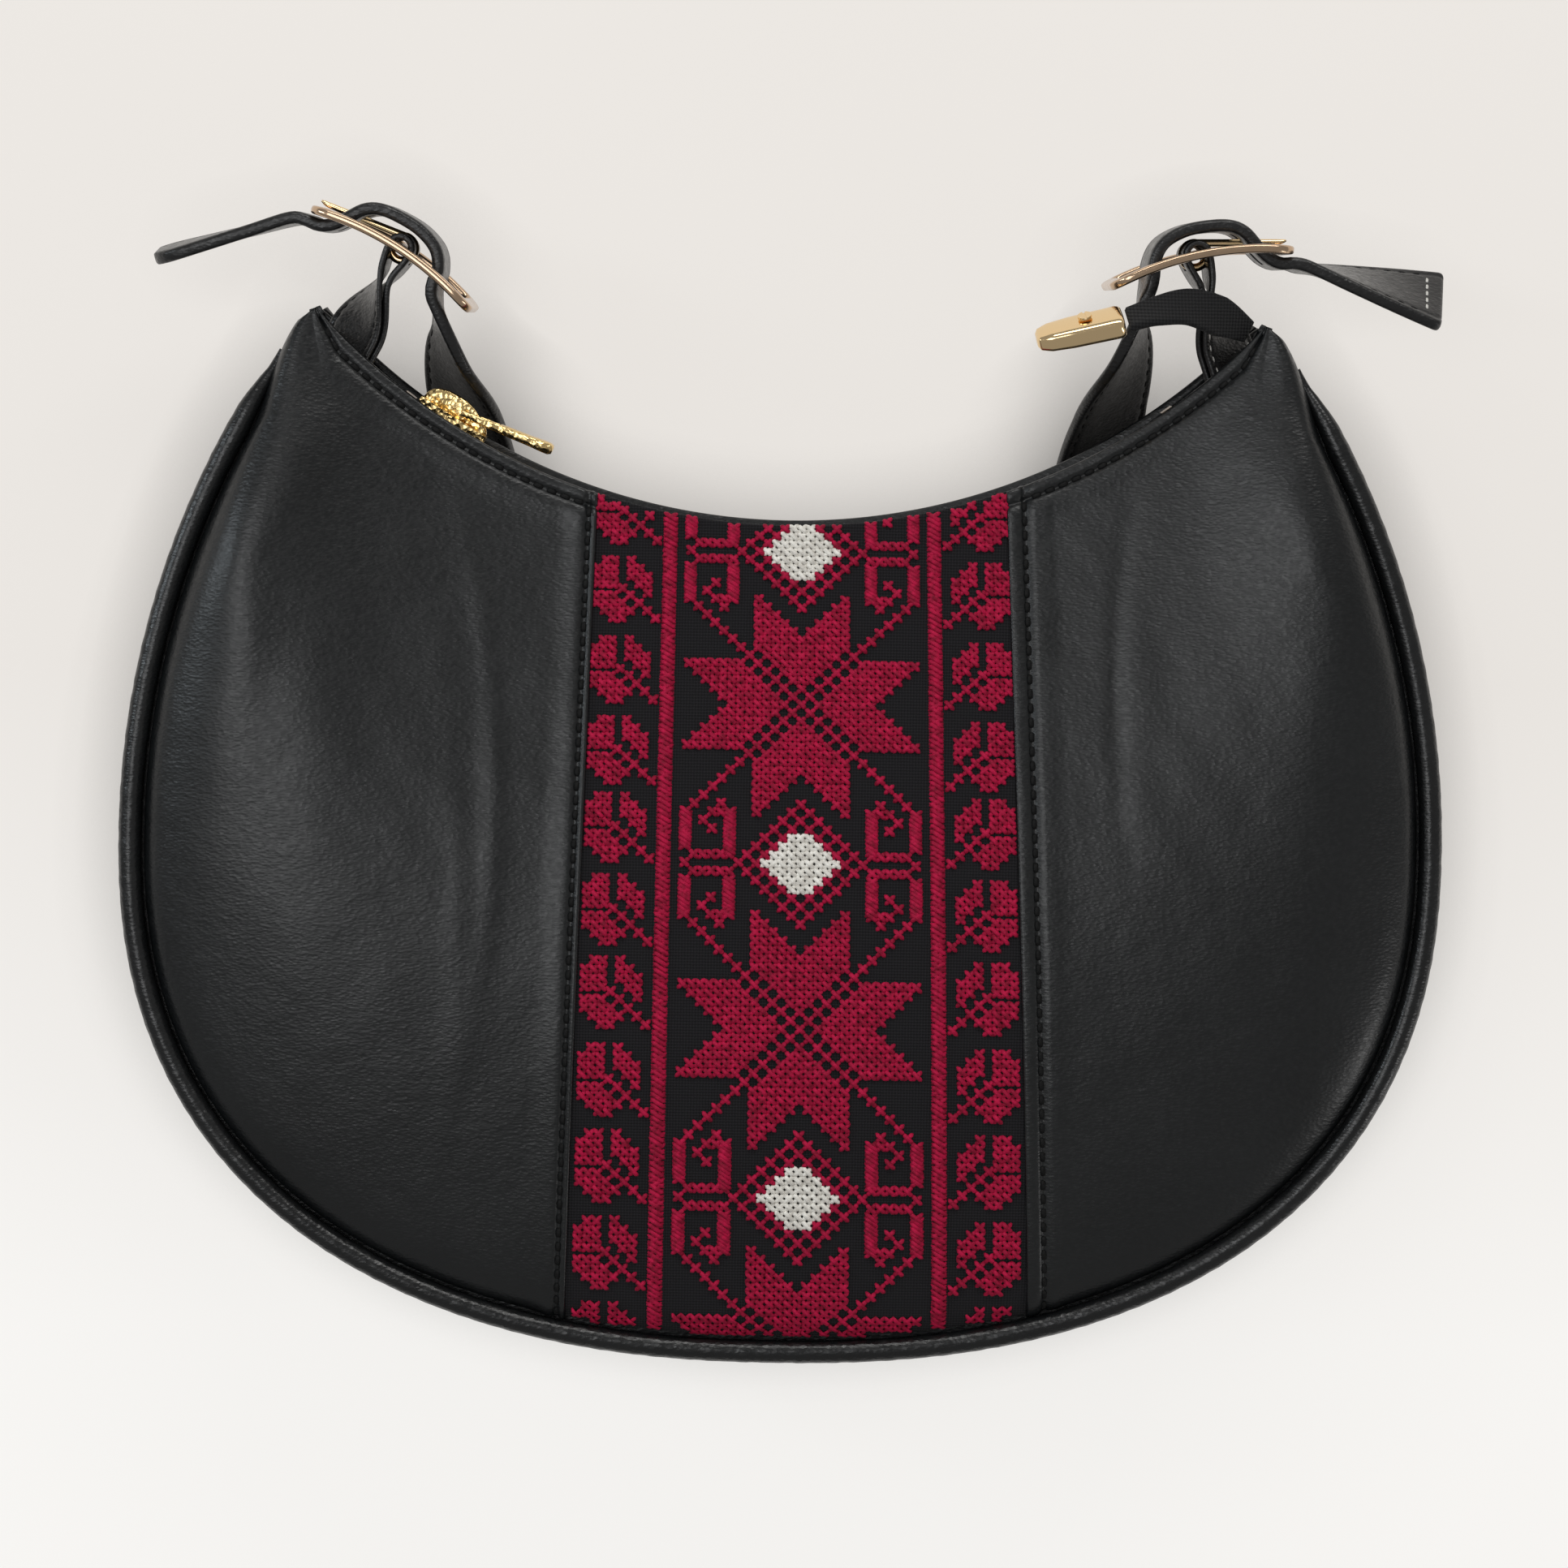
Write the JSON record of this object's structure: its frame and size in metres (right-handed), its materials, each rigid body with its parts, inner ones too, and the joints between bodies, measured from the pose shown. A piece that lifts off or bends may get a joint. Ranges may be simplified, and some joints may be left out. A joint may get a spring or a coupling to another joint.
{
  "type": "half moon shoulder bag",
  "caption": "Crescent leather shoulder bag with an embroidered front panel, a curved zip with a slider and a folded tail, and a strap held by centre-bar buckles.",
  "frame": {"origin": "under the middle of the whole object, on the surface that it lies on", "axes": "+Z from the back panel to the embroidered front, +Y towards the zip and the buckles, +X to the right seen from the front"},
  "size_m": [0.2791, 0.2438, 0.0617],
  "materials": {
    "black_leather": "satin fine grain",
    "strap_leather": "satin",
    "embroidered_cloth": "cross-stitch thread on black cloth",
    "lining_cloth": "matte",
    "stiffener": "matte felt",
    "zip_tape": "matte woven",
    "gold_metal": "polished light gold"
  },
  "bodies": {
    "bag": {"back_panel": "black_leather", "front_panel_left": "black_leather", "front_panel_right": "black_leather", "embroidered_panel": "embroidered_cloth", "embroidery_stiffener": "stiffener", "lining_front": "lining_cloth", "lining_back": "lining_cloth", "lining_gusset": "lining_cloth", "top_facing_front": "black_leather", "top_facing_back": "black_leather", "gusset": "black_leather", "front_piping": "black_leather", "back_piping": "black_leather", "zip_tape_front": "zip_tape", "zip_tape_back": "zip_tape", "zip_teeth_front": "gold_metal", "zip_teeth_back": "gold_metal", "zip_stop_left": "gold_metal", "zip_stop_right": "gold_metal", "tab_left": "strap_leather", "tab_right": "strap_leather", "buckle_frame_left": "gold_metal", "buckle_frame_right": "gold_metal", "strap_end_left": "strap_leather", "strap_end_right": "strap_leather"},
    "zip_slide": {"zip_slider": "gold_metal"},
    "zip_pull": {"zip_puller": "gold_metal"},
    "zip_tail": {"zip_tail_tape": "zip_tape", "zip_end_cap": "gold_metal", "zip_end_cap_screw": "gold_metal"},
    "prong_left": {"buckle_prong_left": "gold_metal"},
    "prong_right": {"buckle_prong_right": "gold_metal"},
    "strap": {"strap_loop": "strap_leather"}
  },
  "joints": [
    {"name": "zip_travel", "type": "hinge", "parent": "bag", "child": "zip_slide", "pos_m": [0, 0.1899, 0.031], "axis": [0, 0, 1], "range_deg": [0, 50]},
    {"name": "pull_flip", "type": "hinge", "parent": "zip_slide", "child": "zip_pull", "pos_m": [-0.06931, 0.07677, 0.031], "axis": [0, 0, 1], "range_deg": [0, 40]},
    {"name": "zip_tail_lift", "type": "hinge", "parent": "bag", "child": "zip_tail", "pos_m": [0.0966, 0.09741, 0.0371], "axis": [0.0797, 0.9968, 0], "range_deg": [0, 30]},
    {"name": "prong_left_lift", "type": "hinge", "parent": "bag", "child": "prong_left", "pos_m": [-0.0825, 0.11141, 0.031], "axis": [0, 0, -1], "range_deg": [0, 6]},
    {"name": "prong_right_lift", "type": "hinge", "parent": "bag", "child": "prong_right", "pos_m": [0.0853, 0.11331, 0.031], "axis": [0, 0, 1], "range_deg": [0, 6]},
    {"name": "strap_swing", "type": "hinge", "parent": "bag", "child": "strap", "pos_m": [0, 0.04, 0.0013], "axis": [1, 0, 0], "range_deg": [0, 90]}
  ]
}
